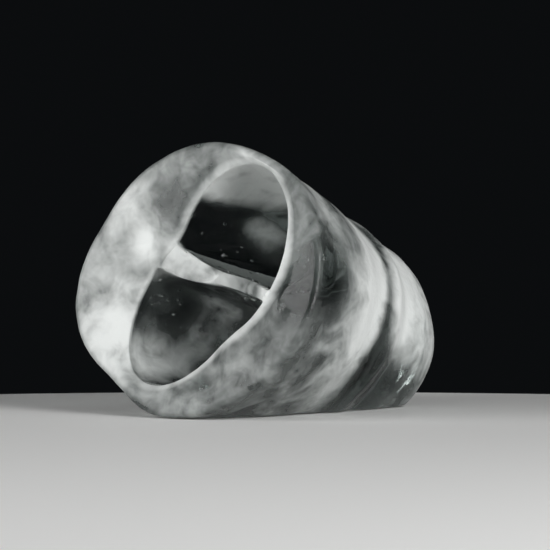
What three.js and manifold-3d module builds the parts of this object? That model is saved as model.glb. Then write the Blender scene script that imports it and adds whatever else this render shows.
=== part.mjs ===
// An ice block: a round, tapered piece of clear ice, frozen in one and partly melted.
// Its wide end has a hollow in two pockets with a thin ridge of ice between them. Its narrow end
// is closed and rounded. It lies on its side, on a flat that melted into its underside, with the
// wide end tipped up a little. Millimetres, +Z up, the wide end towards -Y.
//
// The block is first worked out upright to its own axis: x and z across it, y as the depth from
// the plane of the wide end. An angle goes round the axis from +X towards +Z.
import * as THREE from 'three';
import { mergeVertices } from 'three/addons/utils/BufferGeometryUtils.js';
import Module from 'manifold-3d';

// Driving dimensions, in millimetres and degrees
const LENGTH = 39;
const OPEN_RADIUS = 18.2;
const CLOSED_RADIUS = 11.8;
const SIDE_BULGE = 0.5;
const RIM_ROUNDING = 1.2;
const CLOSED_ROUNDING = 5.5;
const CLOSED_DOME = 0.8;
const LYING_TILT = 15.5;
const RIM_MELT = 0.35;
const SLAB_SIZE = 100;

// Rings that froze round the side, high at +X and fading out at -X: depth from the wide end,
// height of the ring and its width
const RINGS = [
  { depth: 4.5, height: -0.22, width: 1.8 },
  { depth: 17.5, height: -0.42, width: 2.4 },
  { depth: 22.5, height: 0.38, width: 1.2 },
  { depth: 25.6, height: -0.3, width: 1.1 },
  { depth: 29.5, height: 0.22, width: 1.6 },
];
const RING_LEAN = 1.7;

// Low melted lumps: height, waves round the side, waves along it and where they start
const LUMPS = [
  { height: 0.22, round: 2, along: 0.6, start: 0.7 },
  { height: 0.17, round: 3, along: -1.1, start: 2.4 },
  { height: 0.11, round: 5, along: 1.7, start: 4.1 },
  { height: 0.06, round: 8, along: -2.3, start: 1.3 },
];

// Places where the side stands out or has melted back: height, angle round the block and how far
// that spreads, depth from the wide end and how far it reaches along
const SWELLS = [
  { height: 0.8, angle: 197, spread: 22, depth: 2, reach: 12 },
  { height: -1.3, angle: 232, spread: 20, depth: 0, reach: 12 },
  { height: 0.6, angle: -12, spread: 28, depth: 35, reach: 9 },
];

// The rim isn't quite level: it rises and falls a little round the block
const RIM_WAVE = 0.22;
const RIM_WAVE_REACH = 9;

// The hollow's mouth: two ovals grown together, an upper and a lower one. Each has its middle, half
// its length and width, and the angle of its long axis.
const HOLLOW_X = 1.6;
const HOLLOW_Z = 0.9;
const MOUTH_OVALS = [
  { x: 3.7, z: 4.0, halfLength: 11.2, halfWidth: 8.3, lean: 80 },
  { x: -0.9, z: -2.1, halfLength: 12.1, halfWidth: 7.7, lean: 58 },
];
const MOUTH_SHARPNESS = 16;

// The rim slopes into the hollow, more on its broad side
const SLOPE_NARROW = 0.5;
const SLOPE_BROAD = 1.9;

// The two pockets, each with its middle and depth, on one side of the ridge: above or below it
const POCKETS = [
  { x: 4.6, z: 7.5, depth: 20, side: 1 },
  { x: -2.4, z: -5.5, depth: 13.5, side: -1 },
];
const POCKET_LIP = 0.985;
const POCKET_CLEARANCE = 6;

// The ridge between the pockets
const RIDGE_HALF_THICKNESS = 1.0;
const RIDGE_ROOT = 0.14;
const RIDGE_X = 2.6;
const RIDGE_HEIGHT = 0.7;
const RIDGE_SLANT = 0.2;
const RIDGE_SWAY = 0.0015;
const RIDGE_SAG = 2.1;
const RIDGE_CROWN = 0.25;
const RIDGE_FLANK = 5;

// How finely the surfaces are divided
const SEGMENTS = 76;
const ROWS = { closedFace: 4, closedEdge: 4, side: 15, rimEdge: 2, slope: 3, crown: 4 };
const POCKET_SEGMENTS = 64;
const POCKET_ROWS = 11;
const BISECTIONS = 30;

const radians = THREE.MathUtils.degToRad;
const { clamp, lerp } = THREE.MathUtils;

function bump(distance, width) {
  return Math.exp(-((distance / width) ** 2));
}

function turnBetween(angle, other) {
  return Math.atan2(Math.sin(angle - other), Math.cos(angle - other));
}

function lumps(depth, angle) {
  let height = 0;
  for (const lump of LUMPS) {
    const phase = lump.round * angle + lump.along * Math.PI * depth / LENGTH + lump.start;
    height += lump.height * Math.sin(phase);
  }
  return height;
}

function rings(depth, angle) {
  let height = 0;
  for (const ring of RINGS) {
    height += ring.height * bump(depth - ring.depth - RING_LEAN * Math.sin(angle), ring.width);
  }
  return height * (0.5 + 0.5 * Math.cos(angle));
}

function swells(depth, angle) {
  let height = 0;
  for (const swell of SWELLS) {
    const round = bump(turnBetween(angle, radians(swell.angle)), radians(swell.spread));
    height += swell.height * round * bump(depth - swell.depth, swell.reach);
  }
  return height;
}

function sideRadius(depth, angle) {
  const along = depth / LENGTH;
  const taper = lerp(OPEN_RADIUS, CLOSED_RADIUS, along);
  const bulge = SIDE_BULGE * 4 * along * (1 - along);
  return taper + bulge + rings(depth, angle) + lumps(depth, angle) + swells(depth, angle);
}

function rimWave(angle) {
  return RIM_WAVE * (Math.sin(2 * angle + 0.4) + 0.5 * Math.sin(5 * angle + 2));
}

// How far an oval's edge is from the hollow's middle at an angle
function ovalRadius(oval, angle) {
  const lean = radians(oval.lean);
  const size = new THREE.Vector2(oval.halfLength, oval.halfWidth);
  const origin = new THREE.Vector2();
  const ray = new THREE.Vector2(Math.cos(angle), Math.sin(angle));
  const start = new THREE.Vector2(HOLLOW_X - oval.x, HOLLOW_Z - oval.z);
  ray.rotateAround(origin, -lean).divide(size);
  start.rotateAround(origin, -lean).divide(size);
  const along = ray.dot(start);
  return (Math.sqrt(along ** 2 - ray.lengthSq() * (start.lengthSq() - 1)) - along) / ray.lengthSq();
}

function mouthRadius(angle) {
  let sum = 0;
  for (const oval of MOUTH_OVALS) {
    sum += ovalRadius(oval, angle) ** MOUTH_SHARPNESS;
  }
  return sum ** (1 / MOUTH_SHARPNESS);
}

// How deep the rim has sloped down where it meets the hollow's mouth
function slopeDepth(angle) {
  return lerp(SLOPE_NARROW, SLOPE_BROAD, 0.5 - 0.5 * Math.cos(angle));
}

function ridgeLine(x) {
  return RIDGE_HEIGHT - RIDGE_SLANT * (x - RIDGE_X) - RIDGE_SWAY * (x - RIDGE_X) ** 3;
}

function ridgeHalfThickness(x) {
  return RIDGE_HALF_THICKNESS + RIDGE_ROOT * Math.max(0, RIDGE_X - x);
}

// A place in the hollow: its angle from the middle, and a fraction of the way to the mouth
function placeInHollow(x, z) {
  const angle = Math.atan2(z - HOLLOW_Z, x - HOLLOW_X);
  const fraction = Math.hypot(x - HOLLOW_X, z - HOLLOW_Z) / mouthRadius(angle);
  return { angle, fraction: Math.min(fraction, 1) };
}

// The surface across the hollow before the pockets are cut: the ridge's crest lies on it
function crownDepth(x, z) {
  const { angle, fraction } = placeInHollow(x, z);
  const away = Math.abs(z - ridgeLine(x)) / ridgeHalfThickness(x);
  return lerp(RIDGE_SAG, slopeDepth(angle), fraction ** 2) - RIDGE_CROWN * Math.max(0, 1 - away ** 2);
}

// A pocket falls off steeply from the ridge, and rises again to the mouth
function pocketDepth(pocket, x, z) {
  const { fraction } = placeInHollow(x, z);
  const away = Math.abs(z - ridgeLine(x)) - ridgeHalfThickness(x);
  const flank = clamp(away / RIDGE_FLANK, 0, 1);
  const fall = Math.sqrt(1 - (1 - flank) ** 2);
  return crownDepth(x, z) + pocket.depth * Math.sqrt(1 - fraction ** 2) * fall;
}

// How far a pocket's edge is from its own middle: the mouth or the ridge, whichever comes first
function pocketRadius(pocket, angle) {
  const isInside = (distance) => {
    const x = pocket.x + distance * Math.cos(angle);
    const z = pocket.z + distance * Math.sin(angle);
    const clearOfRidge = pocket.side * (z - ridgeLine(x)) > ridgeHalfThickness(x);
    return clearOfRidge && placeInHollow(x, z).fraction < POCKET_LIP;
  };
  let near = 0;
  let far = OPEN_RADIUS;
  for (let i = 0; i < BISECTIONS; i += 1) {
    const middle = (near + far) / 2;
    if (isInside(middle)) near = middle;
    else far = middle;
  }
  return near;
}

// A stretch of the surface's outline at one angle, from pointAt(0) to pointAt(1)
class Stretch extends THREE.Curve {
  constructor(pointAt) {
    super();
    this.pointAt = pointAt;
    this.arcLengthDivisions = 300;
  }

  getPoint(t, target = new THREE.Vector3()) {
    return this.pointAt(t, target);
  }
}

// The block's points at one angle, from the middle of the closed end, along the side and over the
// rim, to the middle of the hollow
function blockOutline(angle) {
  const cos = Math.cos(angle);
  const sin = Math.sin(angle);
  const around = (radius, depth, target) => target.set(radius * cos, depth, radius * sin);
  const waved = (depth) => depth + rimWave(angle) * Math.max(0, 1 - depth / RIM_WAVE_REACH);

  const edgeDepth = LENGTH - CLOSED_ROUNDING;
  const faceRadius = sideRadius(LENGTH, angle) - CLOSED_ROUNDING;
  const closedFace = (t, target) => around(faceRadius * t, LENGTH + CLOSED_DOME * (1 - t * t), target);
  const closedEdge = (t, target) => {
    const turn = (1 - t) * Math.PI / 2;
    const depth = edgeDepth + CLOSED_ROUNDING * Math.sin(turn);
    return around(sideRadius(depth, angle) - CLOSED_ROUNDING * (1 - Math.cos(turn)), depth, target);
  };
  const side = (t, target) => {
    const depth = lerp(edgeDepth, RIM_ROUNDING, t);
    return around(sideRadius(depth, angle), waved(depth), target);
  };
  const rimEdge = (t, target) => {
    const turn = t * Math.PI / 2;
    const depth = RIM_ROUNDING * (1 - Math.sin(turn));
    const radius = sideRadius(depth, angle) - RIM_ROUNDING * (1 - Math.cos(turn));
    return around(radius, waved(depth), target);
  };

  const crest = sideRadius(0, angle) - RIM_ROUNDING;
  const crestX = crest * cos - HOLLOW_X;
  const crestZ = crest * sin - HOLLOW_Z;
  const mouthAngle = Math.atan2(crestZ, crestX);
  const mouth = mouthRadius(mouthAngle);
  const across = (distance, depthAt, target) => {
    const x = HOLLOW_X + distance * Math.cos(mouthAngle);
    const z = HOLLOW_Z + distance * Math.sin(mouthAngle);
    return target.set(x, depthAt(x, z), z);
  };
  const slope = (t, target) => across(
    lerp(Math.hypot(crestX, crestZ), mouth, t),
    () => waved(0) * (1 - t) + slopeDepth(mouthAngle) * t * t,
    target,
  );
  const crown = (t, target) => across(mouth * (1 - t), crownDepth, target);

  const stretches = { closedFace, closedEdge, side, rimEdge, slope, crown };
  const points = [];
  for (const [name, rows] of Object.entries(ROWS)) {
    const spaced = new Stretch(stretches[name]).getSpacedPoints(rows);
    points.push(...spaced.slice(points.length ? 1 : 0));
  }
  return points;
}

// A pocket's points at one angle, from its deepest middle up to its edge, and on out of the block
function pocketOutline(pocket, angle) {
  const radius = pocketRadius(pocket, angle);
  const points = [];
  for (let row = 0; row <= POCKET_ROWS; row += 1) {
    const distance = radius * Math.sin(row / POCKET_ROWS * Math.PI / 2);
    const x = pocket.x + distance * Math.cos(angle);
    const z = pocket.z + distance * Math.sin(angle);
    points.push(new THREE.Vector3(x, pocketDepth(pocket, x, z), z));
  }
  const edge = points.at(-1);
  points.push(new THREE.Vector3(edge.x, -POCKET_CLEARANCE, edge.z));
  points.push(new THREE.Vector3(pocket.x, -POCKET_CLEARANCE, pocket.z));
  return points;
}

// One closed surface from its outlines, which all begin at one point and end at another
function closedSurface(outlineAt, segments) {
  const outlines = [];
  for (let i = 0; i < segments; i += 1) {
    outlines.push(outlineAt(2 * Math.PI * i / segments));
  }
  const last = outlines[0].length - 1;
  const points = [outlines[0][0], outlines[0][last]];
  const indexOf = (segment, row) => {
    if (row === 0) return 0;
    if (row === last) return 1;
    return 2 + (segment % segments) * (last - 1) + row - 1;
  };
  for (const outline of outlines) {
    points.push(...outline.slice(1, last));
  }
  const faces = [];
  for (let segment = 0; segment < segments; segment += 1) {
    for (let row = 0; row < last; row += 1) {
      const a = indexOf(segment, row);
      const b = indexOf(segment + 1, row);
      const c = indexOf(segment + 1, row + 1);
      const d = indexOf(segment, row + 1);
      if (row > 0) faces.push(a, b, c);
      if (row < last - 1) faces.push(a, c, d);
    }
  }
  const geometry = new THREE.BufferGeometry().setFromPoints(points);
  geometry.setIndex(faces);
  geometry.rotateX(radians(-LYING_TILT));
  return geometry;
}

const wasm = await Module();
wasm.setup();

function toSolid(geometry) {
  return new wasm.Manifold(new wasm.Mesh({
    numProp: 3,
    vertProperties: new Float32Array(geometry.attributes.position.array),
    triVerts: new Uint32Array(geometry.index.array),
  }));
}

function toGeometry(solid) {
  const mesh = solid.getMesh();
  const geometry = new THREE.BufferGeometry();
  geometry.setAttribute('position', new THREE.BufferAttribute(mesh.vertProperties, 3));
  geometry.setIndex(new THREE.BufferAttribute(mesh.triVerts, 1));
  return geometry;
}

// The slab of ice below the floor's level, which has melted away
function meltedSlab() {
  const floorLevel = RIM_MELT - OPEN_RADIUS * Math.cos(radians(LYING_TILT));
  const slab = new THREE.BoxGeometry(SLAB_SIZE, SLAB_SIZE, SLAB_SIZE);
  slab.translate(0, LENGTH / 2, floorLevel - SLAB_SIZE / 2);
  slab.deleteAttribute('normal');
  slab.deleteAttribute('uv');
  return mergeVertices(slab);
}

function iceBlock() {
  let solid = toSolid(closedSurface(blockOutline, SEGMENTS));
  for (const pocket of POCKETS) {
    const hollow = closedSurface((angle) => pocketOutline(pocket, angle), POCKET_SEGMENTS);
    solid = solid.subtract(toSolid(hollow));
  }
  const geometry = toGeometry(solid.subtract(toSolid(meltedSlab())));
  geometry.computeBoundingBox();
  const { min, max } = geometry.boundingBox;
  const material = new THREE.MeshStandardMaterial({
    color: 0xdfe7e4,
    roughness: 0.2,
    metalness: 0,
    transparent: true,
    opacity: 0.5,
  });
  const mesh = new THREE.Mesh(geometry, material);
  mesh.name = 'ice_block';
  mesh.position.set(-(min.x + max.x) / 2, -(min.y + max.y) / 2, -min.z);
  return mesh;
}

const group = new THREE.Group();
group.add(iceBlock());
export default group;
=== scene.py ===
# The looks of one ice block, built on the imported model's frame.
# The block is worked out as in the model: across its axis (x, z) and by depth from its wide end,
# with angles round the axis from +X towards +Z. It is in millimetres until its mesh is made, and
# in metres after that.
import math

import bpy
import numpy as np
from mathutils import Matrix, Vector


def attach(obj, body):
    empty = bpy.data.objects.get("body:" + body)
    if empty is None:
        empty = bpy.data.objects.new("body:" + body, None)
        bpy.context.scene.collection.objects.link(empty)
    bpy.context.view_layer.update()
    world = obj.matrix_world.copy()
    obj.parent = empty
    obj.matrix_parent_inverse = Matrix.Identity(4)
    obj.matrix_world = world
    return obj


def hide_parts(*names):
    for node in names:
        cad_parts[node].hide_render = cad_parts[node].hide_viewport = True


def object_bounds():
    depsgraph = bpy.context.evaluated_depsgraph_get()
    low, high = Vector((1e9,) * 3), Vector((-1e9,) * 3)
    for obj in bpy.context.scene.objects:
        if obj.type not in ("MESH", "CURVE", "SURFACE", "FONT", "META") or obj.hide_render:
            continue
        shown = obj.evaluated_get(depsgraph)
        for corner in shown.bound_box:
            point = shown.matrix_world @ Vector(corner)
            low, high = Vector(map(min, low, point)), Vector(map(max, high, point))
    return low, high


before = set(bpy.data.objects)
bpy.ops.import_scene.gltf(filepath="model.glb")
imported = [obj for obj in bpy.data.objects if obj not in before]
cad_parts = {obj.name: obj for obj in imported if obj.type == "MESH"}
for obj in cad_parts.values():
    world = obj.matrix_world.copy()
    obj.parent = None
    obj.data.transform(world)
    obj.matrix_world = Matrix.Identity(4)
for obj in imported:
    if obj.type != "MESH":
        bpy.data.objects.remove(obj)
cad_low, cad_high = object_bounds()
MM = 0.001

# The model's driving dimensions, in millimetres and degrees
LENGTH = 39.0
OPEN_RADIUS = 18.2
CLOSED_RADIUS = 11.8
SIDE_BULGE = 0.5
RIM_ROUNDING = 1.2
CLOSED_ROUNDING = 5.5
CLOSED_DOME = 0.8
LYING_TILT = 15.5
RIM_MELT = 0.35
FLAT_SOFTNESS = 0.25

# Rings that froze round the side: depth from the wide end, height and width
RINGS = (
    (4.5, -0.22, 1.8),
    (17.5, -0.42, 2.4),
    (22.5, 0.38, 1.2),
    (25.6, -0.3, 1.1),
    (29.5, 0.22, 1.6),
)
RING_LEAN = 1.7

# Low melted lumps: height, waves round the side, waves along it and where they start
LUMPS = (
    (0.22, 2, 0.6, 0.7),
    (0.17, 3, -1.1, 2.4),
    (0.11, 5, 1.7, 4.1),
    (0.06, 8, -2.3, 1.3),
)

# Swells and melted places: height, angle, spread, depth and reach
SWELLS = (
    (0.8, 197, 22, 2, 12),
    (-1.3, 232, 20, 0, 12),
    (0.6, -12, 28, 35, 9),
)

# The rim's wavy edge: its height, how far along the side it reaches, and its waves: how many
# round the rim, where they start and their share
RIM_WAVE = 0.22
RIM_WAVE_REACH = 9.0
RIM_WAVES = (
    (2, 0.4, 1.0),
    (5, 2.0, 0.5),
)

# The hollow's mouth, two ovals grown together: middle, half length, half width and lean
HOLLOW = np.array((1.6, 0.9))
MOUTH_OVALS = (
    ((3.7, 4.0), 11.2, 8.3, 80),
    ((-0.9, -2.1), 12.1, 7.7, 58),
)
MOUTH_SHARPNESS = 16
SLOPE_NARROW = 0.5
SLOPE_BROAD = 1.9

# The two pockets and the ridge between them
UPPER_POCKET = 20.0
LOWER_POCKET = 13.5
RIDGE_HALF_THICKNESS = 1.0
RIDGE_ROOT = 0.14
RIDGE_X = 2.6
RIDGE_HEIGHT = 0.7
RIDGE_SLANT = 0.2
RIDGE_SWAY = 0.0015
RIDGE_SAG = 2.1
RIDGE_CROWN = 0.25
RIDGE_FLANK = 5.0

# How finely the surface is divided: segments round the axis, and rows in each stretch
SEGMENTS = 384
ROWS = {
    "closed_face": 16,
    "closed_edge": 18,
    "side": 70,
    "rim_edge": 8,
    "slope": 24,
    "pocket": 84,
}
FINE_STEPS = 400


def bump(distance, width):
    return np.exp(-((distance / width) ** 2))


def turn_between(angle, other):
    return np.arctan2(np.sin(angle - other), np.cos(angle - other))


def mix(low, high, share):
    return low + (high - low) * share


def ramp(value, low, high):
    return np.clip((value - low) / (high - low), 0, 1)


def distance_from(place, x, depth, z):
    return np.sqrt((x - place[0]) ** 2 + (depth - place[1]) ** 2 + (z - place[2]) ** 2)


# Shape of the side

def lumps(depth, angle):
    height = 0.0
    for size, around, along, start in LUMPS:
        height = height + size * np.sin(around * angle + along * math.pi * depth / LENGTH + start)
    return height


def rings(depth, angle):
    height = 0.0
    for ring_depth, size, width in RINGS:
        height = height + size * bump(depth - ring_depth - RING_LEAN * np.sin(angle), width)
    return height * (0.5 + 0.5 * np.cos(angle))


def swells(depth, angle):
    height = 0.0
    for size, centre, spread, swell_depth, reach in SWELLS:
        around = bump(turn_between(angle, math.radians(centre)), math.radians(spread))
        height = height + size * around * bump(depth - swell_depth, reach)
    return height


def side_radius(depth, angle):
    along = depth / LENGTH
    taper = mix(OPEN_RADIUS, CLOSED_RADIUS, along)
    bulge = SIDE_BULGE * 4 * along * (1 - along)
    return taper + bulge + rings(depth, angle) + lumps(depth, angle) + swells(depth, angle)


def rim_wave(angle):
    return RIM_WAVE * sum(share * math.sin(waves * angle + start) for waves, start, share in RIM_WAVES)


# Shape of the hollow

def oval_radius(oval, angle):
    """How far an oval's edge is from the hollow's middle at an angle."""
    middle, half_length, half_width, lean = oval
    turn = math.radians(lean)
    start = complex(*(HOLLOW - middle)) * complex(math.cos(turn), -math.sin(turn))
    ray = complex(math.cos(angle - turn), math.sin(angle - turn))
    start = np.array((start.real / half_length, start.imag / half_width))
    ray = np.array((ray.real / half_length, ray.imag / half_width))
    along = ray @ start
    return (math.sqrt(along ** 2 - (ray @ ray) * (start @ start - 1)) - along) / (ray @ ray)


def mouth_radius(angle):
    powers = [oval_radius(oval, angle) ** MOUTH_SHARPNESS for oval in MOUTH_OVALS]
    return sum(powers) ** (1 / MOUTH_SHARPNESS)


def slope_depth(angle):
    return mix(SLOPE_NARROW, SLOPE_BROAD, 0.5 - 0.5 * math.cos(angle))


def ridge_line(x):
    return RIDGE_HEIGHT - RIDGE_SLANT * (x - RIDGE_X) - RIDGE_SWAY * (x - RIDGE_X) ** 3


def ridge_half_thickness(x):
    return RIDGE_HALF_THICKNESS + RIDGE_ROOT * np.maximum(0, RIDGE_X - x)


def pocket_depth(x, z, fraction, mouth_angle):
    half = ridge_half_thickness(x)
    away = np.abs(z - ridge_line(x))
    crown = RIDGE_CROWN * np.maximum(0, 1 - (away / half) ** 2)
    flank = np.clip((away - half) / RIDGE_FLANK, 0, 1)
    fall = np.sqrt(1 - (1 - flank) ** 2)
    pocket = np.where(z > ridge_line(x), UPPER_POCKET, LOWER_POCKET)
    level = mix(RIDGE_SAG, slope_depth(mouth_angle), fraction ** 2)
    return level - crown + pocket * np.sqrt(1 - fraction ** 2) * fall


# One outline of the surface

def spaced(points, rows):
    steps = np.linalg.norm(np.diff(points, axis=0), axis=1)
    length = np.concatenate(([0.0], np.cumsum(steps)))
    wanted = np.linspace(0, length[-1], rows + 1)
    return np.stack([np.interp(wanted, length, column) for column in points.T], axis=1)


def outline(angle):
    """Points from the middle of the closed end over the side and the rim to the middle of the
    hollow, with a fourth column: how far along its stretch each point is."""
    t = np.linspace(0, 1, FINE_STEPS)
    cos, sin = math.cos(angle), math.sin(angle)
    wave = rim_wave(angle)

    def around(radius, depth):
        return np.stack((radius * cos, depth + 0 * radius, radius * sin, t), axis=1)

    def waved(depth):
        return depth + wave * np.maximum(0, 1 - depth / RIM_WAVE_REACH)

    edge_depth = LENGTH - CLOSED_ROUNDING
    face_radius = side_radius(LENGTH, angle) - CLOSED_ROUNDING
    closed_face = around(face_radius * t, LENGTH + CLOSED_DOME * (1 - t * t))
    turn = (1 - t) * math.pi / 2
    depth = edge_depth + CLOSED_ROUNDING * np.sin(turn)
    closed_edge = around(side_radius(depth, angle) - CLOSED_ROUNDING * (1 - np.cos(turn)), depth)
    depth = mix(edge_depth, RIM_ROUNDING, t)
    side = around(side_radius(depth, angle), waved(depth))
    turn = t * math.pi / 2
    depth = RIM_ROUNDING * (1 - np.sin(turn))
    rim_edge = around(side_radius(depth, angle) - RIM_ROUNDING * (1 - np.cos(turn)), waved(depth))

    crest = (side_radius(0.0, angle) - RIM_ROUNDING) * np.array((cos, sin)) - HOLLOW
    mouth_angle = math.atan2(crest[1], crest[0])
    mouth = mouth_radius(mouth_angle)

    def across(distance, depth_at):
        x = HOLLOW[0] + distance * math.cos(mouth_angle)
        z = HOLLOW[1] + distance * math.sin(mouth_angle)
        return np.stack((x, depth_at(x, z), z, t), axis=1)

    slope = across(
        mix(math.hypot(*crest), mouth, t),
        lambda x, z: waved(0.0) * (1 - t) + slope_depth(mouth_angle) * t * t,
    )
    pocket = across(mouth * (1 - t), lambda x, z: pocket_depth(x, z, 1 - t, mouth_angle))
    stretches = {
        "closed_face": closed_face,
        "closed_edge": closed_edge,
        "side": side,
        "rim_edge": rim_edge,
        "slope": slope,
        "pocket": pocket,
    }
    return {name: spaced(stretches[name], rows) for name, rows in ROWS.items()}


# Where the surface is frosted white, from 0, clear, to 1. The same values also paint light and
# shade: the frost's colour runs from dark grey to white with them, so they are higher where the
# block should look lit and lower where it should look shaded.

# The side's frost, and more or less of it in bands and patches: depth, angle, reach along the
# block, spread round it and how much more. The bands are partly frost and partly painted light
# and shade: those that add frost from depth 16 on paint the light of the right softbox on the side
# and the closed end, and those that take frost away paint shade.
SIDE_FROST = 0.42
SIDE_FROST_LIGHT_AND_SHADE_BANDS = (
    (5.0, 42, 4.0, 22, 0.35),
    (4.0, 6, 3.6, 20, -0.34),
    (10.5, -25, 5.0, 18, 0.12),
    (11.5, 8, 2.4, 30, 0.2),
    (16.2, 22, 2.5, 48, 1.4),
    (20.0, 5, 1.0, 50, -0.25),
    (23.0, -18, 4.5, 18, -0.2),
    (24.3, 18, 2.7, 30, 1.0),
    (30.5, 20, 6.0, 50, 0.62),
    (28.0, -32, 8.0, 22, -0.3),
)

# The far side is clear: the angle that it faces, the cosines of the turn from that angle at
# which it begins to clear and is clear, and the depths between which it clears behind the rim
CLEAR_SIDE = math.radians(170)
CLEAR_SIDE_EDGE = -0.25
CLEAR_SIDE_FULL = 0.35
CLEAR_SIDE_START = 2.0
CLEAR_SIDE_END = 6.0

# The closed end: its frost in the middle and how much more at its edge, then the frost on its
# rounded edge, which is partly frost and partly painted light from the right softbox, less round
# one angle to paint shade there
CLOSED_FROST = 0.25
CLOSED_FROST_RISE = 0.35
CLOSED_EDGE_FROST_AND_LIGHT = 0.75
CLOSED_EDGE_SHADE = 0.35
CLOSED_SHADE_ANGLE = math.radians(-38)
CLOSED_SHADE_SPREAD = math.radians(30)

# The rim's frost, and its patches: x, z, size and how much more frost. The two on the left below
# the middle, at x -13.5 and -11, are painted light where the left softbox shines through the rim.
RIM_FROST = 0.52
RIM_FROST_AND_LIGHT_PATCHES = (
    (-13.5, -3.5, 7.0, 0.16),
    (-11.0, -9.0, 4.2, 0.65),
    (-12.5, 9.0, 4.0, 0.2),
    (-6.8, 10.0, 2.6, -0.22),
    (-0.8, 13.9, 2.2, -0.08),
    (-9.0, 5.0, 2.4, 0.3),
    (4.5, 16.4, 2.0, 0.2),
    (16.5, -0.5, 6.5, -0.34),
)

# Patches in the pockets: x, depth, z, size and frost
POCKET_PATCHES = (
    (-1.6, 11.6, 9.9, 1.9, 0.35),
    (-0.9, 13.9, 9.4, 2.3, 0.62),
    (-0.6, 16.2, 8.5, 2.3, 0.62),
    (-6.2, 2.2, 2.0, 2.2, 0.9),
    (-9.2, 4.8, -1.0, 3.6, 0.3),
    (-9.5, 6.0, -3.4, 1.8, 0.15),
    (-2.6, 10.2, -1.9, 4.2, 0.58),
    (-6.0, 12.2, -5.2, 2.8, 0.3),
    (-7.6, 8.5, -9.2, 4.0, 0.52),
    (-9.4, 5.2, -9.2, 4.0, 0.6),
    (-9.6, 3.5, -11.5, 3.4, 0.5),
)

# The upper pocket's white roof: where it begins, how that rises with depth, how it fades in
# round that height, and the share of it that is lost between two depths. Its frost goes past 1,
# so that the roof, which faces away from the lamps, is whiter: partly painted light.
ROOF_FROST_AND_LIGHT = 1.15
ROOF_HEIGHT = 10.2
ROOF_RISE = 0.09
ROOF_BELOW = 0.6
ROOF_ABOVE = 1.6
ROOF_LOSS = 0.5
ROOF_LOSS_START = 8.0
ROOF_LOSS_END = 16.0

# The ridge's frost fades down its flanks, and between two depths under its middle
RIDGE_FROST = 0.58
RIDGE_FADE = 0.7
RIDGE_FADE_START = 0.4
RIDGE_FADE_END = 1.8

# The mouth's white lip: its frost, strongest round one angle, and how it fades outward over the
# slope and inward between two depths
LIP_FROST_LEAST = 0.75
LIP_FROST_MOST = 1.05
LIP_ANGLE = math.radians(-25)
LIP_SPREAD = math.radians(75)
LIP_WIDTH = 1.7
LIP_FADE_START = 0.2
LIP_FADE_END = 1.0

# Bubbles lie only where the wall is this thick and past this depth, and fewer above the ridge
BUBBLE_WALL = 3.6
BUBBLE_START = 1.0
BUBBLES_ABOVE = 0.2

# Clusters of bubbles: x, depth, z, size and how many more, against the lower pocket's 1
BUBBLE_CLUSTERS = (
    (-9.4, 5.7, -1.4, 1.5, 3.5),
    (-10.1, 6.4, -5.0, 1.5, 2.0),
)


def side_frost_and_light(depth, angle):
    frost_and_painted_light = SIDE_FROST + 0 * depth
    # the bands paint light and shade as well as frost
    for band_depth, centre, reach, spread, more in SIDE_FROST_LIGHT_AND_SHADE_BANDS:
        around = bump(turn_between(angle, math.radians(centre)), math.radians(spread))
        frost_and_painted_light += more * around * bump(depth - band_depth - RING_LEAN * math.sin(angle), reach)
    clear = ramp(math.cos(angle - CLEAR_SIDE), CLEAR_SIDE_EDGE, CLEAR_SIDE_FULL)
    return frost_and_painted_light * (1 - clear * ramp(depth, CLEAR_SIDE_START, CLEAR_SIDE_END))


def lip_frost(x, z):
    around = turn_between(np.arctan2(z - HOLLOW[1], x - HOLLOW[0]), LIP_ANGLE)
    return mix(LIP_FROST_LEAST, LIP_FROST_MOST, bump(around, LIP_SPREAD))


def pocket_frost_and_light(x, depth, z):
    above = z > ridge_line(x)
    from_ridge = np.abs(z - ridge_line(x)) - ridge_half_thickness(x)
    ridge = RIDGE_FROST * (1 - ramp(from_ridge, 0.0, RIDGE_FADE))
    ridge = ridge * (1 - ramp(depth, RIDGE_SAG + RIDGE_FADE_START, RIDGE_SAG + RIDGE_FADE_END))
    lip = lip_frost(x, z) * (1 - ramp(depth - depth[0], LIP_FADE_START, LIP_FADE_END))
    roof_edge = ROOF_HEIGHT + ROOF_RISE * depth
    # partly painted light: the roof's frost goes past 1, which whitens it
    roof = ROOF_FROST_AND_LIGHT * above * ramp(z, roof_edge - ROOF_BELOW, roof_edge + ROOF_ABOVE)
    roof = roof * (1 - ROOF_LOSS * ramp(depth, ROOF_LOSS_START, ROOF_LOSS_END))
    patches = 0 * x
    for *place, size, amount in POCKET_PATCHES:
        same_pocket = above == (place[2] > ridge_line(place[0]))
        patches += amount * same_pocket * bump(distance_from(place, x, depth, z), size)
    return np.maximum.reduce((ridge, lip, roof, patches))


def rim_frost_and_light(x, z):
    frost_and_painted_light = RIM_FROST + 0 * x
    # the patches at x -13.5 and -11 paint light from the left softbox
    for patch_x, patch_z, size, more in RIM_FROST_AND_LIGHT_PATCHES:
        frost_and_painted_light += more * bump(np.hypot(x - patch_x, z - patch_z), size)
    return frost_and_painted_light


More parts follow.
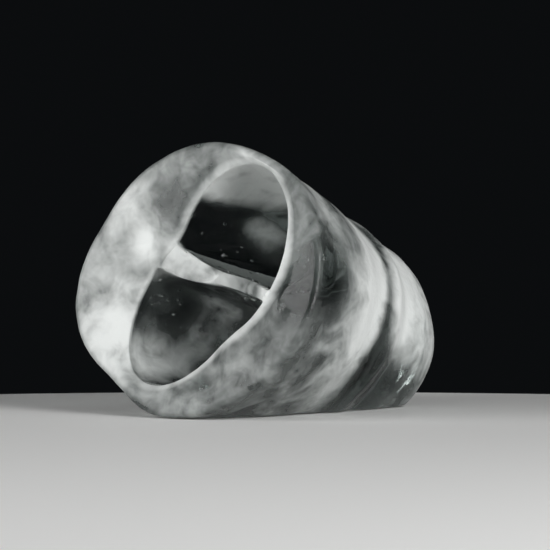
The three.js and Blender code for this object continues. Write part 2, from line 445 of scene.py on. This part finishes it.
def frost_and_light_on(stretch, points, angle):
    """The frost at each point of one stretch of an outline; the same values also paint light and shade."""
    x, depth, z, t = points.T
    if stretch == "closed_face":
        return CLOSED_FROST + CLOSED_FROST_RISE * t
    if stretch == "closed_edge":
        # painted shade: the rounded edge has less frost, and so looks darker, round one angle
        shade = bump(turn_between(angle, CLOSED_SHADE_ANGLE), CLOSED_SHADE_SPREAD)
        return mix(CLOSED_EDGE_FROST_AND_LIGHT - CLOSED_EDGE_SHADE * shade, side_frost_and_light(depth, angle), t)
    if stretch == "side":
        return side_frost_and_light(depth, angle)
    if stretch == "rim_edge":
        return mix(side_frost_and_light(depth, angle), rim_frost_and_light(x, z), t)
    if stretch == "slope":
        from_lip = np.hypot(x - x[-1], z - z[-1])
        lip = lip_frost(x, z) * bump(from_lip, LIP_WIDTH)
        return np.maximum(rim_frost_and_light(x, z), lip)
    return pocket_frost_and_light(x, depth, z)


# The surface

def lie_down(points):
    """Tips the block onto its side and melts off what is below the floor, with a soft edge."""
    x, y, z = points.T
    cos, sin = math.cos(math.radians(LYING_TILT)), math.sin(math.radians(LYING_TILT))
    floor_level = RIM_MELT - OPEN_RADIUS * cos
    height = z * cos - y * sin - floor_level
    height = (height + np.sqrt(height ** 2 + FLAT_SOFTNESS ** 2)) / 2
    return np.stack((x, y * cos + z * sin, height), axis=1)


def bubbles_behind(points):
    """How many bubbles lie behind a point, against 1 in the lower pocket: more in the clusters,
    and none in thin ice, at the rim or at the closed end."""
    x, depth, z = points.T
    wall = side_radius(depth, np.arctan2(z, x)) - np.hypot(x, z)
    thick = (wall > BUBBLE_WALL) & (depth > BUBBLE_START) & (depth < LENGTH - CLOSED_ROUNDING)
    share = np.where(z < ridge_line(x), 1.0, BUBBLES_ABOVE)
    for *place, size, more in BUBBLE_CLUSTERS:
        share = share + more * bump(distance_from(place, x, depth, z), size)
    return thick * share


def block_surface():
    """Points and faces of the whole closed surface, with its frost, which also paints light and shade,
    and how bubbly it is. Every outline starts at the middle of the closed end and ends at the middle
    of the hollow, so those two points are made once."""
    grid = []
    frost_and_painted_light = []
    for segment in range(SEGMENTS):
        angle = 2 * math.pi * segment / SEGMENTS
        for stretch, points in outline(angle).items():
            skip = 1 if stretch != "closed_face" else 0
            grid.append(points[skip:, :3])
            frost_and_painted_light.append(frost_and_light_on(stretch, points, angle)[skip:])
    rows = sum(ROWS.values()) + 1
    last = rows - 1
    grid = np.concatenate(grid).reshape(SEGMENTS, rows, 3)
    frost_and_painted_light = np.concatenate(frost_and_painted_light).reshape(SEGMENTS, rows)
    points = np.concatenate((grid[0, [0, last]], grid[:, 1:last].reshape(-1, 3)))
    frost_and_painted_light = np.concatenate((frost_and_painted_light[:, [0, last]].mean(axis=0), frost_and_painted_light[:, 1:last].reshape(-1)))

    def index(segment, row):
        if row == 0:
            return 0
        if row == last:
            return 1
        return 2 + (segment % SEGMENTS) * (last - 1) + row - 1

    faces = []
    for segment in range(SEGMENTS):
        after = segment + 1
        for row in range(last):
            corners = (
                index(segment, row),
                index(after, row),
                index(after, row + 1),
                index(segment, row + 1),
            )
            faces.append(list(dict.fromkeys(corners)))
    return lie_down(points), faces, {"frost_and_painted_light": frost_and_painted_light, "bubbly": bubbles_behind(points)}


# Geometry Nodes trees

class Tree:
    """A Geometry Nodes tree: named inputs, and one method that adds a node."""

    def __init__(self, name, inputs):
        self.group = bpy.data.node_groups.new(name, "GeometryNodeTree")
        interface = self.group.interface
        interface.new_socket("Geometry", in_out="INPUT", socket_type="NodeSocketGeometry")
        for label, value in inputs.items():
            kind = "NodeSocketInt" if isinstance(value, int) else "NodeSocketFloat"
            interface.new_socket(label, in_out="INPUT", socket_type=kind)
        interface.new_socket("Geometry", in_out="OUTPUT", socket_type="NodeSocketGeometry")
        self.values = inputs
        self.inputs = self.group.nodes.new("NodeGroupInput").outputs
        self.output = self.group.nodes.new("NodeGroupOutput").inputs["Geometry"]

    def add(self, kind, settings=(), sockets=(), output=0):
        node = self.group.nodes.new(kind)
        for label, value in dict(settings).items():
            setattr(node, label, value)
        for label, value in dict(sockets).items():
            target = node.inputs[label]
            if isinstance(value, bpy.types.NodeSocket):
                self.group.links.new(value, target)
            else:
                target.default_value = value
        return node.outputs[output]

    def math(self, operation, first, second):
        return self.add("ShaderNodeMath", {"operation": operation}, {0: first, 1: second})

    def scaled(self, vector, scale):
        return self.add("ShaderNodeVectorMath", {"operation": "SCALE"}, {"Vector": vector, "Scale": scale})

    def finish(self, geometry, material):
        """Ends the tree: everything is made real and is given its material."""
        real = self.add("GeometryNodeRealizeInstances", {}, {"Geometry": geometry})
        done = self.add("GeometryNodeSetMaterial", {}, {"Geometry": real, "Material": material})
        self.group.links.new(done, self.output)

    def run(self, piece):
        """Runs the tree on a piece and gives the result as a plain mesh."""
        modifier = piece.modifiers.new(self.group.name, "NODES")
        modifier.node_group = self.group
        for item in self.group.interface.items_tree:
            if item.in_out == "INPUT" and item.name in self.values:
                modifier[item.identifier] = self.values[item.name]
        depsgraph = bpy.context.evaluated_depsgraph_get()
        mesh = bpy.data.meshes.new_from_object(piece.evaluated_get(depsgraph))
        piece.modifiers.remove(modifier)
        return mesh


def melt_relief(material):
    """Wet, melted unevenness: the surface sinks a little, by two sizes of noise."""
    tree = Tree("melt_relief", {
        "Broad Size": 5.0 * MM,
        "Broad Depth": 0.3 * MM,
        "Fine Size": 1.5 * MM,
        "Fine Depth": 0.06 * MM,
        "Detail": 1.0,
    })
    depths = []
    for size, depth in (("Broad Size", "Broad Depth"), ("Fine Size", "Fine Depth")):
        scale = tree.math("DIVIDE", 1.0, tree.inputs[size])
        noise = tree.add("ShaderNodeTexNoise", {}, {"Scale": scale, "Detail": tree.inputs["Detail"]}, "Fac")
        depths.append(tree.math("MULTIPLY", noise, tree.inputs[depth]))
    sunk = tree.math("ADD", *depths)
    normal = tree.add("GeometryNodeInputNormal")
    moved = tree.add("GeometryNodeSetPosition", {}, {
        "Geometry": tree.inputs["Geometry"],
        "Offset": tree.scaled(normal, tree.math("MULTIPLY", sunk, -1.0)),
    })
    tree.finish(moved, material)
    return tree


def trapped_bubbles(material):
    """Small round bubbles in the ice, a little way behind the walls of the hollow. The exponent
    makes most of them small."""
    tree = Tree("trapped_bubbles", {
        "Count Per Square Metre": 800000.0,
        "Seed": 11,
        "Smallest": 0.06 * MM,
        "Largest": 0.36 * MM,
        "Size Exponent": 3.0,
        "Nearest": 0.5 * MM,
        "Deepest": 2.2 * MM,
    })
    where = tree.add("GeometryNodeInputNamedAttribute", {"data_type": "FLOAT"}, {"Name": "bubbly"})
    density = tree.math("MULTIPLY", where, tree.inputs["Count Per Square Metre"])
    scatter = tree.add("GeometryNodeDistributePointsOnFaces", {}, {
        "Mesh": tree.inputs["Geometry"],
        "Density": density,
        "Seed": tree.inputs["Seed"],
    })
    normal = scatter.node.outputs["Normal"]
    depth = tree.add("FunctionNodeRandomValue", {"data_type": "FLOAT"}, {
        2: tree.inputs["Nearest"],
        3: tree.inputs["Deepest"],
        "Seed": tree.inputs["Seed"],
    }, 1)
    inward = tree.scaled(normal, tree.math("MULTIPLY", depth, -1.0))
    placed = tree.add("GeometryNodeSetPosition", {}, {"Geometry": scatter, "Offset": inward})
    share = tree.add("FunctionNodeRandomValue", {"data_type": "FLOAT"}, {"Seed": tree.inputs["Seed"]}, 1)
    spread = tree.math("SUBTRACT", tree.inputs["Largest"], tree.inputs["Smallest"])
    size = tree.math("MULTIPLY", tree.math("POWER", share, tree.inputs["Size Exponent"]), spread)
    size = tree.math("ADD", size, tree.inputs["Smallest"])
    ball = tree.add("GeometryNodeMeshUVSphere", {}, {"Segments": 8, "Rings": 5, "Radius": 1.0})
    bubbles = tree.add("GeometryNodeInstanceOnPoints", {}, {
        "Points": placed,
        "Instance": ball,
        "Scale": size,
    })
    tree.finish(bubbles, material)
    return tree


def fit_to_model(mesh):
    """The finished surface fills the model's box, and doesn't pass it."""
    points = np.empty(3 * len(mesh.vertices))
    mesh.vertices.foreach_get("co", points)
    points = points.reshape(-1, 3)
    low, high = points.min(axis=0), points.max(axis=0)
    box_low, box_high = np.array(cad_low), np.array(cad_high)
    points = box_low + (points - low) * (box_high - box_low) / (high - low)
    mesh.vertices.foreach_set("co", points.ravel())
    mesh.update()


# Materials

class Wire:
    """A socket of a material, whose sums and products add Math nodes."""

    def __init__(self, finish, socket):
        self.finish = finish
        self.socket = socket

    def math(self, operation, first, second):
        return self.finish.wire("ShaderNodeMath", {"operation": operation}, {0: first, 1: second})

    def __add__(self, other):
        return self.math("ADD", self, other)

    def __sub__(self, other):
        return self.math("SUBTRACT", self, other)

    def __mul__(self, other):
        return self.math("MULTIPLY", self, other)


class Finish:
    """A material, and one method that adds a node to it."""

    def __init__(self, name):
        self.material = bpy.data.materials.new(name)
        self.material.use_nodes = True
        self.tree = self.material.node_tree
        self.tree.nodes.clear()

    def add(self, kind, settings=(), sockets=()):
        node = self.tree.nodes.new(kind)
        for label, value in dict(settings).items():
            setattr(node, label, value)
        for label, value in dict(sockets).items():
            if isinstance(value, Wire):
                self.tree.links.new(value.socket, node.inputs[label])
            else:
                node.inputs[label].default_value = value
        return node

    def wire(self, kind, settings=(), sockets=(), output=0):
        return Wire(self, self.add(kind, settings, sockets).outputs[output])

    def between(self, value, low, high):
        """0 where the value is under low, 1 over high, and smooth between them."""
        return self.wire("ShaderNodeMapRange", {"interpolation_type": "SMOOTHSTEP"}, {
            "Value": value,
            "From Min": low,
            "From Max": high,
        })

    def noise(self, size, detail=2.0, distortion=0.0):
        place = self.wire("ShaderNodeTexCoord", output="Object")
        return self.wire("ShaderNodeTexNoise", {}, {
            "Vector": place,
            "Scale": 1 / size,
            "Detail": detail,
            "Distortion": distortion,
        }, "Fac")

    def blend(self, share, first, second):
        node = self.add("ShaderNodeMix", {"data_type": "RGBA"}, {"Factor": share})
        for socket, value in zip([s for s in node.inputs if s.type == "RGBA"], (first, second)):
            socket.default_value = (*value, 1)
        return Wire(self, next(s for s in node.outputs if s.type == "RGBA"))

    def relief(self, height, distance, strength):
        return self.wire("ShaderNodeBump", {}, {
            "Height": height,
            "Distance": distance,
            "Strength": strength,
        }, "Normal")

    def surface(self, shader, volume=None):
        output = self.add("ShaderNodeOutputMaterial", {}, {"Surface": shader})
        if volume is not None:
            self.tree.links.new(volume.socket, output.inputs["Volume"])
        return self.material


ICE_IOR = 1.31

# Clear ice: its tint, roughness and relief, and the tint that light takes on its way through
CLEAR_TINT = (0.95, 0.985, 0.975, 1)
CLEAR_ROUGHNESS = 0.05
CLEAR_RELIEF = 0.25
DEPTH_TINT = (0.5, 0.54, 0.53, 1)
ABSORPTION = 70.0

# Noise in the ice, by its size in millimetres. Clouds and wisps break up the frost. Ripples and
# crystals are unevenness that is too small to model, and RELIEF_HEIGHT is how high it is.
NOISE_MIDDLE = 0.5
CLOUD_SIZE = 5.0
CLOUD_DISTORTION = 0.6
CLOUD_SHARE = 1.6
WISP_SIZE = 2.0
WISP_DISTORTION = 0.8
WISP_SHARE = 0.5
FROST_DETAIL = 3.0
RIPPLE_SIZE = 2.2
CRYSTAL_SIZE = 0.5
CRYSTAL_SHARE = 0.3
RELIEF_HEIGHT = 0.3

# Frost: from where to where it covers the ice and how much it hides at most, from where to where
# it whitens and from which colour to which, and its other values. Its colour runs from a dark grey,
# thin frost and painted shade, to white, thick frost and painted light.
COVER_START = 0.08
COVER_END = 0.62
COVER_MOST = 0.92
WHITE_START = 0.2
WHITE_END = 1.15
THIN_FROST_AND_PAINTED_SHADE = (0.1, 0.115, 0.11)
THICK_FROST_AND_PAINTED_LIGHT = (0.92, 0.945, 0.93)
FROST_ROUGHNESS = 0.55
FROST_TRANSMISSION = 0.25
FROST_WETNESS = 0.06
WET_ROUGHNESS = 0.2
FROST_RELIEF = 0.5

AIR_ROUGHNESS = 0.02
FLOOR_COLOUR = (0.85, 0.85, 0.84, 1)
FLOOR_ROUGHNESS = 0.7


def ice_finish():
    """Clear wet ice, with a frost where the attribute says, broken up by noise. The frost's colour follows
    the attribute from dark grey to white, which paints light and shade.
    """
    ice = Finish("clear_ice")
    painted = ice.wire("ShaderNodeAttribute", {"attribute_name": "frost_and_painted_light"}, {}, "Fac")
    clouds = ice.noise(CLOUD_SIZE * MM, FROST_DETAIL, CLOUD_DISTORTION)
    wisps = ice.noise(WISP_SIZE * MM, FROST_DETAIL, WISP_DISTORTION)
    uneven = (clouds - NOISE_MIDDLE) * CLOUD_SHARE + (wisps - NOISE_MIDDLE) * WISP_SHARE
    broken = painted * (uneven + 1.0)
    cover = ice.between(broken, COVER_START, COVER_END) * COVER_MOST
    # painted light and shade: the frost's colour goes from dark grey to white with the frost values, darker
    # where the block should look shaded and whiter where it should look lit
    whiteness_and_painted_light = ice.between(broken, WHITE_START, WHITE_END)
    ripples = ice.noise(RIPPLE_SIZE * MM)
    crystals = ice.noise(CRYSTAL_SIZE * MM)
    clear = ice.wire("ShaderNodeBsdfPrincipled", {}, {
        "Base Color": CLEAR_TINT,
        "Roughness": CLEAR_ROUGHNESS,
        "IOR": ICE_IOR,
        "Transmission Weight": 1.0,
        "Normal": ice.relief(ripples, RELIEF_HEIGHT * MM, CLEAR_RELIEF),
    })
    frosted = ice.wire("ShaderNodeBsdfPrincipled", {}, {
        "Base Color": ice.blend(whiteness_and_painted_light, THIN_FROST_AND_PAINTED_SHADE, THICK_FROST_AND_PAINTED_LIGHT),
        "Roughness": FROST_ROUGHNESS,
        "IOR": ICE_IOR,
        "Transmission Weight": FROST_TRANSMISSION,
        "Coat Weight": FROST_WETNESS,
        "Coat Roughness": WET_ROUGHNESS,
        "Normal": ice.relief(ripples + crystals * CRYSTAL_SHARE, RELIEF_HEIGHT * MM, FROST_RELIEF),
    })
    both = ice.wire("ShaderNodeMixShader", {}, {0: cover, 1: clear, 2: frosted})
    within = ice.wire("ShaderNodeVolumeAbsorption", {}, {"Color": DEPTH_TINT, "Density": ABSORPTION})
    return ice.surface(both, within)


def bubble_finish():
    """Air in ice: light bends the other way at its surface."""
    air = Finish("trapped_air")
    shader = air.wire("ShaderNodeBsdfPrincipled", {}, {
        "Base Color": (1, 1, 1, 1),
        "Roughness": AIR_ROUGHNESS,
        "IOR": 1 / ICE_IOR,
        "Transmission Weight": 1.0,
    })
    return air.surface(shader)


def floor_finish():
    pale = Finish("pale_floor")
    shader = pale.wire("ShaderNodeBsdfPrincipled", {}, {
        "Base Color": FLOOR_COLOUR,
        "Roughness": FLOOR_ROUGHNESS,
    })
    return pale.surface(shader)


# The block and its bubbles

def new_piece(name, data):
    piece = bpy.data.objects.new(name, data)
    bpy.context.scene.collection.objects.link(piece)
    return piece


def make_block():
    points, faces, attributes = block_surface()
    mesh = bpy.data.meshes.new("ice")
    mesh.from_pydata((points * MM).tolist(), [], faces)
    for name, values in attributes.items():
        mesh.attributes.new(name, "FLOAT", "POINT").data.foreach_set("value", values)
    block = new_piece("ice", mesh)
    block.data = melt_relief(ice_finish()).run(block)
    fit_to_model(block.data)
    bubbles = new_piece("bubbles", trapped_bubbles(bubble_finish()).run(block))
    for piece in (block, bubbles):
        piece.data.polygons.foreach_set("use_smooth", [True] * len(piece.data.polygons))
        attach(piece, "root")
    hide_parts("ice_block")


# The stage, the camera and the lights, in metres, degrees and watts

FLOOR_RADIUS = 0.15
FLOOR_OFFSET = 0.114
FLOOR_THICKNESS = 0.002
FLOOR_GAP = 0.00005
FLOOR_SIDES = 128
CAMERA_AZIMUTH = 35.4
CAMERA_ELEVATION = 2.5
CAMERA_DISTANCE = 0.77
VIEW_WIDTH = 0.070
DARK_ROOM = (0.0035, 0.004, 0.0045, 1)

# Softboxes: name, turn round from the camera's side, elevation, distance, width, height, power
SOFTBOXES = (
    ("left_softbox", -62, 7, 0.45, 0.30, 0.40, 2.2),
    ("right_softbox", 40, 14, 0.45, 0.24, 0.36, 2.3),
    ("top_softbox", -20, 60, 0.5, 0.34, 0.34, 0.12),
)


def direction(azimuth, elevation):
    a, e = math.radians(azimuth), math.radians(elevation)
    return Vector((math.sin(a) * math.cos(e), -math.cos(a) * math.cos(e), math.sin(e)))


def make_floor():
    """A round floor, most of it on the camera's side, so that the block stands against the dark."""
    middle = direction(CAMERA_AZIMUTH, 0) * FLOOR_OFFSET
    middle.z = -FLOOR_GAP - FLOOR_THICKNESS / 2
    bpy.ops.mesh.primitive_cylinder_add(vertices=FLOOR_SIDES, radius=FLOOR_RADIUS, depth=FLOOR_THICKNESS)
    floor = bpy.context.object
    floor.name = "floor"
    floor.data.transform(Matrix.Translation(middle))
    floor.data.materials.append(floor_finish())


def aim(thing, place, target):
    thing.location = place
    thing.rotation_mode = "QUATERNION"
    thing.rotation_quaternion = (target - place).to_track_quat("-Z", "Y")


def make_camera(target):
    camera = bpy.data.cameras.new("camera")
    camera.lens = camera.sensor_width * CAMERA_DISTANCE / VIEW_WIDTH
    piece = new_piece("camera", camera)
    aim(piece, target + direction(CAMERA_AZIMUTH, CAMERA_ELEVATION) * CAMERA_DISTANCE, target)
    bpy.context.scene.camera = piece


def make_studio(target):
    """Soft light from three sides, in a dark room."""
    world = bpy.data.worlds.new("studio")
    world.use_nodes = True
    world.node_tree.nodes["Background"].inputs["Color"].default_value = DARK_ROOM
    bpy.context.scene.world = world
    for name, turn, elevation, distance, width, height, power in SOFTBOXES:
        light = bpy.data.lights.new(name, "AREA")
        light.shape = "RECTANGLE"
        light.size = width
        light.size_y = height
        light.energy = power
        piece = new_piece(name, light)
        piece.visible_camera = False
        aim(piece, target + direction(CAMERA_AZIMUTH + turn, elevation) * distance, target)


make_block()
centre = (cad_low + cad_high) / 2
make_floor()
make_camera(centre)
make_studio(centre)
bpy.context.scene.view_settings.view_transform = "Standard"
